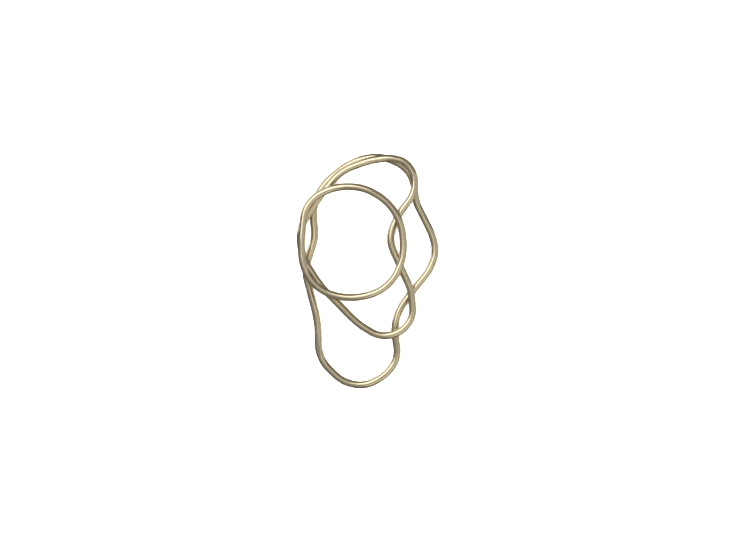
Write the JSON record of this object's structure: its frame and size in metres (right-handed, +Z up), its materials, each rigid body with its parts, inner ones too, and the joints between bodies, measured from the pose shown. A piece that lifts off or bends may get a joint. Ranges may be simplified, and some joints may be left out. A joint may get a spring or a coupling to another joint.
{
  "type": "metal ring puzzle",
  "caption": "Loose closed rings of round brass rod, each bent to its own wavy outline, lying flat one on another; hand puzzle whose rings lift off one at a time.",
  "frame": {"origin": "on the surface that the rings lie on, under the middle of their common outline", "axes": "+Y along the longest extent, away from the large ring's free loop; +X to the right of that, seen from above; +Z up, from the large ring to the round ring"},
  "size_m": [0.101, 0.1673, 0.016],
  "materials": {
    "satin_brass": "satin"
  },
  "bodies": {
    "large": {"large_ring": "satin_brass"},
    "middle": {"middle_ring": "satin_brass"},
    "round": {"round_ring": "satin_brass"}
  },
  "joints": [
    {"name": "middle_ring_lift", "type": "slide", "parent": "large", "child": "middle", "axis": [0, 0, 1], "range_m": [0, 0.04]},
    {"name": "round_ring_lift", "type": "slide", "parent": "middle", "child": "round", "axis": [0, 0, 1], "range_m": [0, 0.04]}
  ]
}
